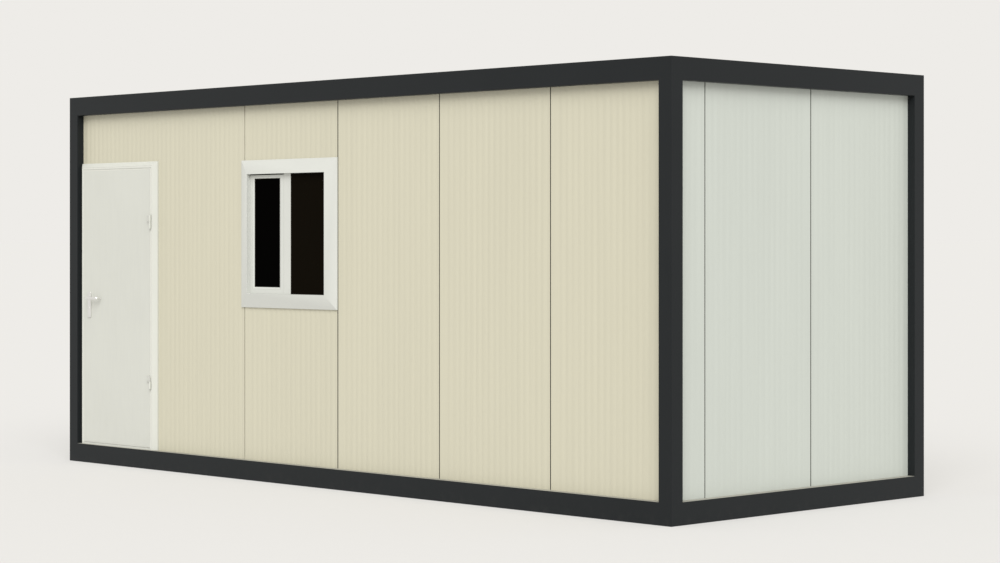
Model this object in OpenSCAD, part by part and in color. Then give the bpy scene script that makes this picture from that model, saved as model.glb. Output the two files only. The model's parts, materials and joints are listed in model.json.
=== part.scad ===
// Portable site cabin: a welded steel frame of four corner posts, base beams and
// top beams, filled with 40 mm insulated panels, with one outward-opening door and
// one two-part window in the front long wall. Millimetres, +Z up. The origin is at
// the centre of the footprint, at ground level. The front wall faces -Y and the
// right gable faces +X.

/* [Cabin] */
// Length over the corner posts, along X
cabin_length = 6000; // [4900:50:7400]
// Depth over the corner posts, along Y
cabin_depth = 2430; // [2000:10:3000]
// Height from the ground to the top of the frame
cabin_height = 2700; // [2600:10:3400]

/* [Steel frame] */
// Width of a square corner post, and of every beam
post_w = 100; // [90:5:140]
// Height of the base beams
base_beam_h = 135; // [110:5:180]
// Height of the top beams
top_beam_h = 135; // [110:5:180]
// Wall thickness of posts and beams
steel_t = 4; // [3:0.5:6]
// Thickness of the plate that closes the top of a post
post_cap_t = 6; // [4:1:12]

/* [Floor] */
// Greatest distance between floor joists, and between roof joists
joist_pitch = 600; // [400:50:900]
// Width of a floor joist
floor_joist_w = 50; // [40:5:80]
// Height of a floor joist
floor_joist_h = 90; // [60:5:105]
// Wall thickness of a floor joist
floor_joist_t = 3; // [2:0.5:5]
// Thickness of the floor board
floor_board_t = 18; // [12:1:28]

/* [Roof] */
// Thickness of the ceiling board
ceiling_t = 12; // [8:1:20]
// Width of a roof joist
roof_joist_w = 40; // [30:5:60]
// Height of a roof joist
roof_joist_h = 60; // [40:5:65]
// Wall thickness of a roof joist
roof_joist_t = 3; // [2:0.5:4]
// Thickness of the roof sheet
sheet_t = 3; // [1:0.5:4]
// Height of the roof sheet's ribs
rib_h = 30; // [15:5:35]
// Distance between the roof sheet's ribs
rib_pitch = 200; // [150:10:300]
// Width of a rib across its top
rib_top_w = 40; // [20:5:60]
// Width of a rib across its foot
rib_foot_w = 80; // [65:5:100]

/* [Wall panels] */
// How far the walls sit behind the face of the frame
wall_recess = 55; // [45:1:60]
// Thickness of a wall panel
panel_t = 40; // [30:5:45]
// Cover width of a whole panel
panel_pitch = 985; // [960:5:1100]
// Width of the groove at a joint
joint_w = 8; // [3:1:12]
// Depth of the groove at a joint
joint_depth = 12; // [4:1:16]

/* [Door] */
// Width of the door leaf
leaf_w = 816; // [700:4:900]
// Height of the door leaf
leaf_h = 2000; // [1900:10:2100]
// Thickness of the door leaf
leaf_t = 40; // [35:1:42]
// How far the leaf's outer face sits behind the face of the frame
leaf_recess = 20; // [18:1:24]
// Gap between the leaf and the casing at each side
leaf_side_gap = 7; // [6:0.5:9]
// Gap above and below the leaf, and between the leaf and its stop
leaf_gap = 5; // [5:0.5:8]
// Width of the door casing
door_casing_w = 50; // [45:1:65]
// Width of the casing's sloping outer strip
outer_bevel_w = 32; // [24:1:34]
// Width of the groove in the casing
casing_groove_w = 8; // [5:1:9]
// Depth of the groove in the casing
casing_groove_depth = 8; // [4:1:12]
// Width of the small slope at the casing's inner edge
inner_bevel_w = 4; // [2:1:4]
// How far a casing's outer edge stands out from the wall
casing_lip = 10; // [6:1:14]
// How far the stop reaches in from the casing
stop_w = 12; // [8:1:13]
// Height of the threshold
threshold_h = 13; // [10:1:20]

/* [Hinges] */
// Height of the lower hinge's middle above the foot of the leaf
lower_hinge_z = 471; // [200:1:600]
// Height of the upper hinge's middle above the foot of the leaf
upper_hinge_z = 1620; // [1300:1:1800]
// Height of a closed hinge
hinge_h = 100; // [80:2:140]
// Radius of a hinge knuckle
knuckle_r = 8; // [7:0.5:9]
// Radius of a hinge pin
hinge_pin_r = 4; // [3:0.5:5]
// Distance from the hinge axis to the inner edge of the casing
hinge_inset = 7; // [5:0.5:7.5]
// Distance from the hinge axis forward from the leaf's outer face
hinge_stand = 10; // [9.5:0.5:12]
// Reach of a hinge wing across the leaf
wing_w = 25; // [20:1:50]
// Thickness of a hinge wing
wing_t = 5; // [3:0.5:5]

/* [Door handle] */
// Distance from the free edge of the leaf to the spindle
handle_backset = 75; // [35:1:110]
// Height of the spindle above the foot of the leaf
handle_z = 1061; // [900:1:1200]
// Width of a handle plate
plate_w = 40; // [28:1:50]
// Height of a handle plate
plate_h = 190; // [110:5:240]
// Distance from the spindle to the top of the plate
plate_above = 47; // [30:1:60]
// Thickness of a handle plate
plate_t = 8; // [3:0.5:10]
// Radius of the spindle
spindle_r = 8; // [6:0.5:10]
// Reach of a grip from the spindle
grip_l = 150; // [90:5:160]
// Height of a grip
grip_h = 24; // [18:1:26]
// Thickness of a grip
grip_t = 12; // [8:1:16]
// Distance from the leaf to the outer face of a grip
grip_stand = 50; // [40:1:60]
// Size of the slopes at the grip's ends
grip_bevel = 4; // [2:0.5:5]
// Length along the grip of the end that turns back to the leaf
return_w = 14; // [10:1:20]
// Space left between that end and the leaf
return_gap = 12; // [10:1:20]

/* [Window] */
// Which front panel holds the window, counted from the right
window_panel = 4; // [2:1:4]
// Height of the window's middle above the ground
window_z = 1685; // [1500:5:1750]
// How far the window sits to the left of its panel's middle
window_shift = 8; // [-15:1:15]
// Width and height of the window casing
window_size = 1010; // [900:10:1080]
// Width of the window casing
window_casing_w = 97; // [80:1:105]
// How far the casing's inner edge sits behind the face of the frame
casing_crest = 15; // [10:1:20]
// Thickness of the window frame's sides
window_frame_t = 20; // [15:1:24]
// Thickness of a pane of glass
glass_t = 6; // [4:1:10]
// How far glass reaches into its frame
glass_bite = 8; // [5:1:10]
// How far the sash and the fixed upright sit behind the face of the frame
sash_recess = 45; // [30:1:46]
// Thickness of the sash
sash_t = 25; // [20:1:26]
// Width of the sash's outer upright
sash_stile_w = 41; // [35:1:60]
// Width of the sash's inner upright
meeting_stile_w = 46; // [35:1:60]
// Width of the fixed upright between the sash and the fixed pane
mullion_w = 73; // [50:1:90]
// How far the fixed upright's far edge sits to the right of the window's middle
mullion_reach = 28; // [0:1:40]
// Gap over the sash, for lifting it in
sash_lift = 7; // [4:1:10]
// Height of the sash's top rail
sash_top_w = 23; // [20:1:45]
// Height of the sash's bottom rail
sash_foot_w = 44; // [30:1:60]

/* [Fits] */
// Gap round a piece that drops into place
drop_gap = 2; // [1:0.5:4]
// Gap round a pane in its groove, and below the sash
seat_gap = 0.3; // [0.1:0.1:0.6]
// Radial clearance of a turning pin
pin_gap = 0.05; // [0.02:0.01:0.1]
// Gap between the two knuckles of a hinge
knuckle_gap = 0.8; // [0.5:0.1:2]

/* [Hidden] */
$fn = 48;
eps = 0.5;

half_l = cabin_length / 2;
half_d = cabin_depth / 2;
inner_length = cabin_length - 2 * post_w;
inner_depth = cabin_depth - 2 * post_w;

// Heights
wall_foot = base_beam_h;
wall_head = cabin_height - top_beam_h;
wall_h = wall_head - wall_foot;
floor_top = base_beam_h + floor_board_t;
joist_foot = wall_head + ceiling_t;
sheet_foot = joist_foot + roof_joist_h;

// Depths, from the face of the frame inward
wall_back = wall_recess + panel_t;
stop_face = leaf_recess + leaf_t + leaf_gap;
casing_edge = wall_recess - casing_lip;

// The door's bay at the left end of the front wall
door_bay_w = leaf_w + 2 * (leaf_side_gap + door_casing_w);
leaf_foot = floor_top;
leaf_top = leaf_foot + leaf_h;
door_head = leaf_top + leaf_gap + door_casing_w;
door_left = -half_l + post_w;
door_right = door_left + door_bay_w;
leaf_left = door_left + door_casing_w + leaf_side_gap;
leaf_right = leaf_left + leaf_w;
hinge_x = door_right - door_casing_w + hinge_inset;
hinge_y = leaf_recess - hinge_stand;
spindle_x = leaf_left + handle_backset;
spindle_z = leaf_foot + handle_z;

// Walls are filled from one end: a cut panel first, then whole ones
front_run = inner_length - door_bay_w;
function whole_panels(run) = ceil((run - panel_pitch) / panel_pitch);
function panel_start(run, i) = i == 1 ? 0 : run - (whole_panels(run) + 2 - i) * panel_pitch;
function panel_end(run, i) = run - (whole_panels(run) + 1 - i) * panel_pitch;
front_panels = whole_panels(front_run) + 1;
back_panels = whole_panels(inner_length) + 1;
gable_panels = whole_panels(inner_depth) + 1;

// The window, near the middle of its panel
window_from_right = (panel_start(front_run, window_panel) + panel_end(front_run, window_panel)) / 2;
window_x = half_l - post_w - window_from_right - window_shift;
sight_size = window_size - 2 * window_casing_w;
frame_size = sight_size + 2 * window_frame_t;
rough_size = frame_size + 2 * drop_gap;
sight_left = window_x - sight_size / 2;
sight_right = window_x + sight_size / 2;
sight_foot = window_z - sight_size / 2;
sight_head = window_z + sight_size / 2;
sash_left = sight_left + drop_gap / 2;
mullion_right = window_x + mullion_reach;
mullion_left = mullion_right - mullion_w;
sash_right = mullion_left - drop_gap / 2;
sash_foot = sight_foot + seat_gap;
sash_head = sight_head - sash_lift;
sash_glass_y = sash_recess + (sash_t - glass_t) / 2;
fixed_glass_y = wall_recess - glass_t - 2 * seat_gap;

steel_colour = "#2f3133";
cream_colour = "#d8d3bc";
pale_colour = "#d1d5cc";
white_colour = "#e2e1db";

function numbered(name, count) = [for (i = [1:count]) str(name, "_", i)];

// Turns the front wall's place (outer face at -Y) to one of the four sides
module on_front() { translate([0, -half_d, 0]) children(); }
module on_back() { rotate([0, 0, 180]) translate([0, -half_d, 0]) children(); }
module on_right() { rotate([0, 0, 90]) translate([0, -half_l, 0]) children(); }
module on_left() { rotate([0, 0, -90]) translate([0, -half_l, 0]) children(); }

// ---- Steel frame ----

// One corner post, open at the foot and closed by a plate at the top
module post(x_side, y_side) {
    translate([x_side * (half_l - post_w / 2), y_side * (half_d - post_w / 2), 0])
        color(steel_colour)
            difference() {
                translate([-post_w / 2, -post_w / 2, 0])
                    cube([post_w, post_w, cabin_height]);
                translate([-post_w / 2 + steel_t, -post_w / 2 + steel_t, -eps])
                    cube([post_w - 2 * steel_t, post_w - 2 * steel_t,
                          cabin_height - post_cap_t + eps]);
            }
}

// A rectangular tube along X, with its outer face at y = 0 and its foot at z = 0
module tube(length, width, height, wall) {
    translate([-length / 2, 0, 0])
        difference() {
            cube([length, width, height]);
            translate([-eps, wall, wall])
                cube([length + 2 * eps, width - 2 * wall, height - 2 * wall]);
        }
}

module base_beam(length) {
    color(steel_colour) tube(length, post_w, base_beam_h, steel_t);
}

module top_beam(length) {
    color(steel_colour) translate([0, 0, wall_head]) tube(length, post_w, top_beam_h, steel_t);
}

// Joists cross the cabin from beam to beam, evenly spaced
module joists(width, height, wall, foot) {
    bays = ceil(inner_length / joist_pitch);
    spacing = inner_length / bays;
    for (i = [1:bays - 1])
        translate([-inner_length / 2 + i * spacing + width / 2, 0, foot])
            rotate([0, 0, 90])
                tube(inner_depth, width, height, wall);
}

module floor_joists() {
    color(steel_colour) joists(floor_joist_w, floor_joist_h, floor_joist_t, base_beam_h - floor_joist_h);
}

module roof_joists() {
    color("silver") joists(roof_joist_w, roof_joist_h, roof_joist_t, joist_foot);
}

// A board that drops between the beams
module board(thickness, foot) {
    translate([-inner_length / 2 + drop_gap, -inner_depth / 2 + drop_gap, foot])
        cube([inner_length - 2 * drop_gap, inner_depth - 2 * drop_gap, thickness]);
}

module floor_board() {
    color("tan") board(floor_board_t, base_beam_h);
}

module ceiling_board() {
    color("white") board(ceiling_t, wall_head);
}

// The roof is one ribbed sheet, sunk between the top beams, with ribs along X
module roof_sheet() {
    run = inner_depth - 2 * drop_gap;
    ribs = floor((run - rib_foot_w) / rib_pitch);
    first = -(ribs - 1) * rib_pitch / 2;
    function rib(i, lift) = let (y = first + i * rib_pitch) [
        [y - rib_foot_w / 2, lift], [y - rib_top_w / 2, rib_h - sheet_t + lift],
        [y + rib_top_w / 2, rib_h - sheet_t + lift], [y + rib_foot_w / 2, lift]];
    top_line = [for (i = [0:ribs - 1]) each rib(i, sheet_t)];
    foot_line = [for (i = [ribs - 1:-1:0], p = [3:-1:0]) rib(i, 0)[p]];
    outline = concat([[-run / 2, 0], [-run / 2, sheet_t]], top_line,
                     [[run / 2, sheet_t], [run / 2, 0]], foot_line);
    color("gainsboro")
        translate([-inner_length / 2 + drop_gap, 0, sheet_foot])
            rotate([90, 0, 90])
                linear_extrude(inner_length - 2 * drop_gap)
                    polygon(outline);
}

// ---- Walls ----

// A panel from x = -width to x = 0, with its outer face at y = 0. The groove of the
// joint is cut from the far edge, and the next panel closes it behind.
module panel(width, height, grooved) {
    groove = grooved ? joint_w : 0;
    linear_extrude(height)
        polygon([
            [0, 0], [-width + groove, 0], [-width + groove, joint_depth],
            [-width, joint_depth], [-width, panel_t], [0, panel_t]
        ]);
}

// Panel i of a run that starts at the right-hand end of its wall
module run_panel(run, wall_half, i) {
    translate([wall_half - post_w - panel_start(run, i), wall_recess, wall_foot])
        panel(panel_end(run, i) - panel_start(run, i), wall_h, panel_end(run, i) < run);
}

module front_panel(i) {
    color(cream_colour)
        on_front()
            difference() {
                run_panel(front_run, half_l, i);
                if (i == window_panel) window_hole();
            }
}

module window_hole() {
    translate([window_x - rough_size / 2, wall_recess - eps, window_z - rough_size / 2])
        cube([rough_size, panel_t + 2 * eps, rough_size]);
}

module door_header_panel() {
    color(cream_colour)
        on_front()
            translate([door_right, wall_recess, door_head])
                panel(door_bay_w, wall_head - door_head, false);
}

module back_panel(i) {
    color(cream_colour) on_back() run_panel(inner_length, half_l, i);
}

// Both gables start with their cut panel at the front corner
module left_panel(i) {
    color(pale_colour) on_left() run_panel(inner_depth, half_d, i);
}

module right_panel(i) {
    color(pale_colour) mirror([1, 0, 0]) on_left() run_panel(inner_depth, half_d, i);
}

// ---- Casings ----

// One side of a casing: a section with u inward from the outer edge and v back into
// the wall, along the foot of a w by h rectangle, mitred at both ends
module casing_side(w, section, reach) {
    intersection() {
        rotate([90, 0, 90]) linear_extrude(w) polygon([for (p = section) [p[1], p[0]]]);
        rotate([90, 0, 0])
            translate([0, 0, -post_w * 2])
                linear_extrude(post_w * 2)
                    polygon([[0, 0], [w, 0], [w - reach, reach], [reach, reach]]);
    }
}

// Turns a side made along the foot of a w by h rectangle to its head or its uprights
module at_head(w, h) { translate([w, 0, h]) rotate([0, 180, 0]) children(); }
module at_left(w, h) { translate([0, 0, h]) rotate([0, 90, 0]) children(); }
module at_right(w, h) { translate([w, 0, 0]) rotate([0, -90, 0]) children(); }

// ---- Window ----

module window_casing() {
    section = [
        [0, wall_recess], [0, casing_edge],
        [window_casing_w, casing_crest], [window_casing_w, wall_recess]
    ];
    color(white_colour)
        on_front()
            difference() {
                translate([window_x - window_size / 2, 0, window_z - window_size / 2]) {
                    casing_side(window_size, section, window_casing_w);
                    at_head(window_size, window_size) casing_side(window_size, section, window_casing_w);
                    at_left(window_size, window_size) casing_side(window_size, section, window_casing_w);
                    at_right(window_size, window_size) casing_side(window_size, section, window_casing_w);
                }
                fixed_pane(seat_gap, 3 * seat_gap);
            }
}

// The fixed frame behind the casing. Its upright comes forward between the sash and the fixed pane
module window_frame() {
    color(white_colour)
        on_front()
            difference() {
                union() {
                    difference() {
                        translate([window_x - frame_size / 2, wall_recess, window_z - frame_size / 2])
                            cube([frame_size, panel_t, frame_size]);
                        translate([sight_left, wall_recess - eps, sight_foot])
                            cube([mullion_left - sight_left, panel_t + 2 * eps, sight_size]);
                        translate([mullion_right, wall_recess - eps, sight_foot])
                            cube([sight_right - mullion_right, panel_t + 2 * eps, sight_size]);
                    }
                    translate([mullion_left, sash_recess, sight_foot])
                        cube([mullion_w, wall_recess - sash_recess + eps, sight_size]);
                }
                fixed_pane(seat_gap, seat_gap);
            }
}

// The sash, beside the frame's upright
module window_sash() {
    color(white_colour)
        on_front()
            difference() {
                translate([sash_left, sash_recess, sash_foot])
                    cube([sash_right - sash_left, sash_t, sash_head - sash_foot]);
                translate([sash_left + sash_stile_w, sash_recess - eps, sash_foot + sash_foot_w])
                    cube([sash_right - sash_left - sash_stile_w - meeting_stile_w,
                          sash_t + 2 * eps,
                          sash_head - sash_foot - sash_foot_w - sash_top_w]);
                sash_pane(seat_gap);
            }
}

module sash_pane(gap) {
    translate([sash_left + sash_stile_w - glass_bite - gap, sash_glass_y - gap,
               sash_foot + sash_foot_w - glass_bite - gap])
        cube([sash_right - sash_left - sash_stile_w - meeting_stile_w + 2 * (glass_bite + gap),
              glass_t + 2 * gap,
              sash_head - sash_foot - sash_foot_w - sash_top_w + 2 * (glass_bite + gap)]);
}

// The pane beside the sash, or its seat: a gap round it and a gap behind it
module fixed_pane(gap, behind) {
    translate([mullion_right - glass_bite - gap, fixed_glass_y - gap, sight_foot - glass_bite - gap])
        cube([sight_right - mullion_right + 2 * (glass_bite + gap),
              glass_t + gap + behind,
              sight_size + 2 * (glass_bite + gap)]);
}

module window_glass() {
    color("#0c0b09")
        on_front() {
            sash_pane(0);
            fixed_pane(0, 0);
        }
}

// ---- Door ----

// Two jambs and a head of one rebated section, mitred at the top, on a threshold
module door_frame() {
    frame_h = door_head - wall_foot;
    inner_flat = door_casing_w - inner_bevel_w;
    reach = door_casing_w + stop_w;
    drop = reach;
    section = [
        [0, post_w], [0, casing_edge],
        [outer_bevel_w, leaf_recess], [outer_bevel_w, leaf_recess + casing_groove_depth],
        [outer_bevel_w + casing_groove_w, leaf_recess + casing_groove_depth],
        [outer_bevel_w + casing_groove_w, leaf_recess], [inner_flat, leaf_recess],
        [door_casing_w, leaf_recess + inner_bevel_w], [door_casing_w, stop_face],
        [reach, stop_face], [reach, post_w]
    ];
    color(white_colour)
        on_front()
            translate([door_left, 0, wall_foot]) {
                at_head(door_bay_w, frame_h) casing_side(door_bay_w, section, reach);
                intersection() {
                    translate([0, 0, -drop]) {
                        at_left(door_bay_w, frame_h + drop) casing_side(frame_h + drop, section, reach);
                        at_right(door_bay_w, frame_h + drop) casing_side(frame_h + drop, section, reach);
                    }
                    cube([door_bay_w, post_w, frame_h]);
                }
                translate([inner_flat, leaf_recess + inner_bevel_w, 0])
                    cube([door_bay_w - 2 * inner_flat, post_w - leaf_recess - inner_bevel_w, threshold_h]);
            }
}

// The fixed half of a hinge: the lower knuckle, its foot on the casing, and the pin
module frame_hinge(z) {
    half = (hinge_h - knuckle_gap) / 2;
    translate([hinge_x, hinge_y, z - hinge_h / 2]) {
        cylinder(r = knuckle_r, h = half);
        cylinder(r = hinge_pin_r, h = hinge_h - wing_t);
        translate([-hinge_inset / 2 + inner_bevel_w / 4, 0, 0])
            cube([hinge_inset - inner_bevel_w, hinge_stand, half]);
    }
}

module frame_hinges() {
    color(white_colour)
        on_front() {
            frame_hinge(leaf_foot + lower_hinge_z);
            frame_hinge(leaf_foot + upper_hinge_z);
        }
}

// The moving half: the upper knuckle, bored for the pin, and its wing on the leaf
module leaf_hinge(z) {
    half = (hinge_h - knuckle_gap) / 2;
    wing_x = leaf_right - hinge_x - wing_w;
    translate([hinge_x, hinge_y, z + knuckle_gap / 2])
        difference() {
            union() {
                cylinder(r = knuckle_r, h = half);
                translate([wing_x, 0, 0]) cube([-wing_x, wing_t, half]);
                translate([wing_x, 0, 0]) cube([wing_w - 1, hinge_stand, half]);
            }
            translate([0, 0, -eps])
                cylinder(r = hinge_pin_r + pin_gap, h = half - wing_t + 1 + eps);
        }
}

module leaf_hinges() {
    color(white_colour)
        on_front() {
            leaf_hinge(leaf_foot + lower_hinge_z);
            leaf_hinge(leaf_foot + upper_hinge_z);
        }
}

// A bore for the spindle, from depth y over a length along Y
module spindle_bore(y, length) {
    translate([spindle_x, y - eps, spindle_z])
        rotate([-90, 0, 0])
            cylinder(r = spindle_r + pin_gap, h = length + 2 * eps);
}

module door_leaf() {
    color(white_colour)
        on_front()
            difference() {
                translate([leaf_left, leaf_recess, leaf_foot]) cube([leaf_w, leaf_t, leaf_h]);
                spindle_bore(leaf_recess, leaf_t);
            }
}

module handle_plate(y) {
    difference() {
        translate([spindle_x - plate_w / 2, y, spindle_z + plate_above - plate_h])
            cube([plate_w, plate_t, plate_h]);
        spindle_bore(y, plate_t);
    }
}

module handle_plates() {
    color("#c9c9c4")
        on_front() {
            handle_plate(leaf_recess - plate_t);
            handle_plate(leaf_recess + leaf_t);
        }
}

// A grip: a bar with sloping corners, from the spindle towards the hinges
module grip(y) {
    end = grip_l - grip_bevel;
    top = grip_h / 2;
    translate([spindle_x, y + grip_t, spindle_z])
        rotate([90, 0, 0])
            linear_extrude(grip_t)
                polygon([
                    [-top, grip_bevel - top], [grip_bevel - top, -top], [end, -top],
                    [grip_l, grip_bevel - top], [grip_l, top - grip_bevel], [end, top],
                    [grip_bevel - top, top], [-top, top - grip_bevel]
                ]);
}

// The end of a grip that turns back to the leaf, filling depths y0 to y1
module grip_return(y0, y1) {
    translate([spindle_x + grip_l - return_w, y0, spindle_z + grip_bevel - grip_h / 2])
        cube([return_w, y1 - y0, grip_h - 2 * grip_bevel]);
}

module door_lever() {
    outer = leaf_recess - grip_stand;
    inner = leaf_recess + leaf_t + grip_stand;
    color("#c9c9c4")
        on_front() {
            grip(outer);
            grip(inner - grip_t);
            grip_return(outer + grip_t / 2, leaf_recess - return_gap);
            grip_return(leaf_recess + leaf_t + return_gap, inner - grip_t / 2);
            translate([spindle_x, outer + grip_t / 2, spindle_z])
                rotate([-90, 0, 0])
                    cylinder(r = spindle_r, h = inner - outer - grip_t);
        }
}

post(-1, -1);  // front_left_post
post(1, -1);  // front_right_post
post(-1, 1);  // back_left_post
post(1, 1);  // back_right_post
on_front() base_beam(inner_length);  // front_base_beam
on_back() base_beam(inner_length);  // back_base_beam
on_left() base_beam(inner_depth);  // left_base_beam
on_right() base_beam(inner_depth);  // right_base_beam
on_front() top_beam(inner_length);  // front_top_beam
on_back() top_beam(inner_length);  // back_top_beam
on_left() top_beam(inner_depth);  // left_top_beam
on_right() top_beam(inner_depth);  // right_top_beam
floor_joists();
floor_board();
ceiling_board();
roof_joists();
roof_sheet();
for (i = [1:front_panels])
    front_panel(i);
door_header_panel();
for (i = [1:back_panels])
    back_panel(i);
for (i = [1:gable_panels])
    left_panel(i);
for (i = [1:gable_panels])
    right_panel(i);
window_casing();
window_frame();
window_sash();
window_glass();
door_frame();
frame_hinges();
door_leaf();
leaf_hinges();
handle_plates();
door_lever();
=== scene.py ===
"""The looks of a portable site cabin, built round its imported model.

Lengths are in metres in the row's frame: X runs along the long walls, -Y out of the front wall
with the door and the window, and Z up.
"""
import json
import math

import bmesh
import bpy
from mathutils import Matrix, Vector


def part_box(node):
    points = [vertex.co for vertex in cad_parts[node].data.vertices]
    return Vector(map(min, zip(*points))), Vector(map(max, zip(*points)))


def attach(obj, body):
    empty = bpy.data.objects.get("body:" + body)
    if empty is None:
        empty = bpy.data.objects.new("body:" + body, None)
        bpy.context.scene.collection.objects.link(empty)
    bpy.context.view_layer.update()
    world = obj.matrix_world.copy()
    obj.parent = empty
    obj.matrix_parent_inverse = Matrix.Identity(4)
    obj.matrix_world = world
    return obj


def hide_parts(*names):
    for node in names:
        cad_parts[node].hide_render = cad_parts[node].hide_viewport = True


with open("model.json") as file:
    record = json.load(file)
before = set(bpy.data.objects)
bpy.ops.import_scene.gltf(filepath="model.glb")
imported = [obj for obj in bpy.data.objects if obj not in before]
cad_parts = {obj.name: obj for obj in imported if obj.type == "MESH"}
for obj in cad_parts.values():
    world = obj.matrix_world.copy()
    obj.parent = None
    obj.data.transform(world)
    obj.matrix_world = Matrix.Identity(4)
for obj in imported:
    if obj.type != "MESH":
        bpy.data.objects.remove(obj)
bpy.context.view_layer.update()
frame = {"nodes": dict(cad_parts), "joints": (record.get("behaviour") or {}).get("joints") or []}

# ---- Steel posts and beams ----
# Square corner posts and rectangular beams of rolled steel tube, welded flush into one box and
# sprayed with satin anthracite paint. The tubes' long edges are rounded, and the posts are open
# at the foot.

TUBE_WALL = 0.004
TUBE_ROUND = 0.003
EASED_EDGE = math.radians(40)
SHARP_EDGE = math.radians(24)
ANTHRACITE = (0.0096, 0.0115, 0.0126)
ANTHRACITE_WORN = (0.0130, 0.0150, 0.0164)
# pale of the base beams' tops: partly dust, partly painted light
LEDGE_DUST_AND_LIGHT = (0.46, 0.45, 0.39)
DUST = (0.20, 0.185, 0.16)


class Wire:
    """A socket in a material's node tree. Arithmetic on it adds Math nodes."""

    def __init__(self, tree, socket):
        self.tree, self.socket = tree, socket

    def feed(self, socket, value):
        """Sets a socket: a wire is linked, and a colour gets its fourth number."""
        if isinstance(value, Wire):
            self.tree.links.new(value.socket, socket)
        elif socket.type == "RGBA":
            socket.default_value = (*value[:3], 1.0)
        else:
            socket.default_value = value

    def node(self, kind, inputs, output=0, **settings):
        """Any node: its settings first, then its sockets' values or wires."""
        made = self.tree.nodes.new("ShaderNode" + kind)
        for name, value in settings.items():
            setattr(made, name, value)
        for key, value in inputs.items():
            self.feed(made.inputs[key], value)
        return Wire(self.tree, made.outputs[output])

    def math(self, operation, *values):
        return self.node("Math", dict(enumerate(values)), operation=operation)

    def __add__(self, other):
        return self.math("ADD", self, other)

    def __sub__(self, other):
        return self.math("SUBTRACT", self, other)

    def __rsub__(self, other):
        return self.math("SUBTRACT", other, self)

    def __mul__(self, other):
        return self.math("MULTIPLY", self, other)

    __radd__, __rmul__ = __add__, __mul__

    def part(self, axis):
        """One of a vector's three numbers."""
        return self.node("SeparateXYZ", {0: self}, axis)

    def stretched(self, x, y, z):
        """A place scaled along each axis, so that a pattern on it is drawn out."""
        return self.node("VectorMath", {0: self, 1: (x, y, z)}, operation="MULTIPLY")

    def noise(self, scale, detail=2.0):
        return self.node("TexNoise", {"Vector": self, "Scale": scale, "Detail": detail})

    def between(self, low, high):
        """A soft step from 0 at low to 1 at high."""
        return self.node("MapRange", {"Value": self, "From Min": low, "From Max": high},
                         interpolation_type="SMOOTHSTEP")

    def colours(self, first, second):
        """The first colour where this is 0, and the second where it is 1."""
        return self.node("Mix", {0: self, 6: first, 7: second}, 2, data_type="RGBA")


def coat(name, look, **fixed):
    """A finish. look(place) gives what varies over the surface; relief is in metres."""
    made = bpy.data.materials.new(name)
    made.use_nodes = True
    tree = made.node_tree
    shader = tree.nodes["Principled BSDF"]
    place = Wire(tree, tree.nodes.new("ShaderNodeTexCoord").outputs["Object"])
    sockets = look(place)
    relief = sockets.pop("relief")
    sockets["Normal"] = place.node("Bump", {"Height": relief, "Distance": 1.0})
    for socket, value in {**fixed, **sockets}.items():
        place.feed(shader.inputs[socket], value)
    return made


def facing_up(place):
    """1 on surfaces that look up, where dust settles, and 0 on the others."""
    return place.node("NewGeometry", {}, "Normal").part("Z").between(0.6, 0.98)


def anthracite_paint(place):
    cloud = place.noise(1.7, 3)
    dust = facing_up(place) * place.noise(8, 5).between(0.3, 0.75)
    # the tops of the base beams are painted pale, partly as dust and partly as painted light, so that
    # they read bright and throw light up onto the foot of the walls
    ledge_dust_and_light = facing_up(place) * place.part("Z").between(0.3, 0.2)
    splash = place.part("Z").between(0.11, 0.0) * place.noise(22, 4).between(0.45, 0.7)
    paint = cloud.colours(ANTHRACITE, ANTHRACITE_WORN)
    paint = (ledge_dust_and_light * (0.55 + 0.3 * cloud)).colours(paint, LEDGE_DUST_AND_LIGHT)
    return {
        "Base Color": (0.12 * dust + 0.02 * splash).colours(paint, DUST),
        "Roughness": 0.36 + 0.12 * cloud + 0.3 * dust,
        "relief": 0.00004 * place.noise(300, 1) + 0.0003 * place.noise(4, 1),
    }


anthracite = coat("anthracite paint", anthracite_paint, **{"Specular IOR Level": 0.15})


def drawn_up(u, v, w):
    """Places a plan outline's points, drawn out along Z."""
    return u, v, w


def drawn_along(u, v, w):
    """Places the points of a section in Y and Z, drawn out along X."""
    return w, u, v


def drawn_inward(u, v, w):
    """Places the points of a front view in X and Z, drawn out along Y."""
    return u, w, v


def add_tube(form, rings):
    """Joins rings of points into one closed skin, with a face on each end."""
    for a, b in zip(rings, rings[1:]):
        for i in range(len(a)):
            j = (i + 1) % len(a)
            form.faces.new((a[i], a[j], b[j], b[i]))
    form.faces.new(rings[0])
    form.faces.new(rings[-1])


def add_prism(form, outline, start, end, put=drawn_up):
    """Adds an outline drawn out from start to end."""
    add_tube(form, [[form.verts.new(put(u, v, w)) for u, v in outline] for w in (start, end)])


def add_box(form, low, high):
    outline = [(low[0], low[1]), (high[0], low[1]), (high[0], high[1]), (low[0], high[1])]
    add_prism(form, outline, low[2], high[2])


def ease(form, radius, steps=4, longer=0.0):
    """Rounds the form's sharp edges, or only those that are longer than a length."""
    bmesh.ops.recalc_face_normals(form, faces=form.faces)
    sharp = [e for e in form.edges if len(e.link_faces) == 2
             and e.calc_face_angle() > EASED_EDGE and e.calc_length() > longer]
    bmesh.ops.bevel(form, geom=sharp, offset=radius, segments=steps, profile=0.5,
                    affect="EDGES", clamp_overlap=True)


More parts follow.
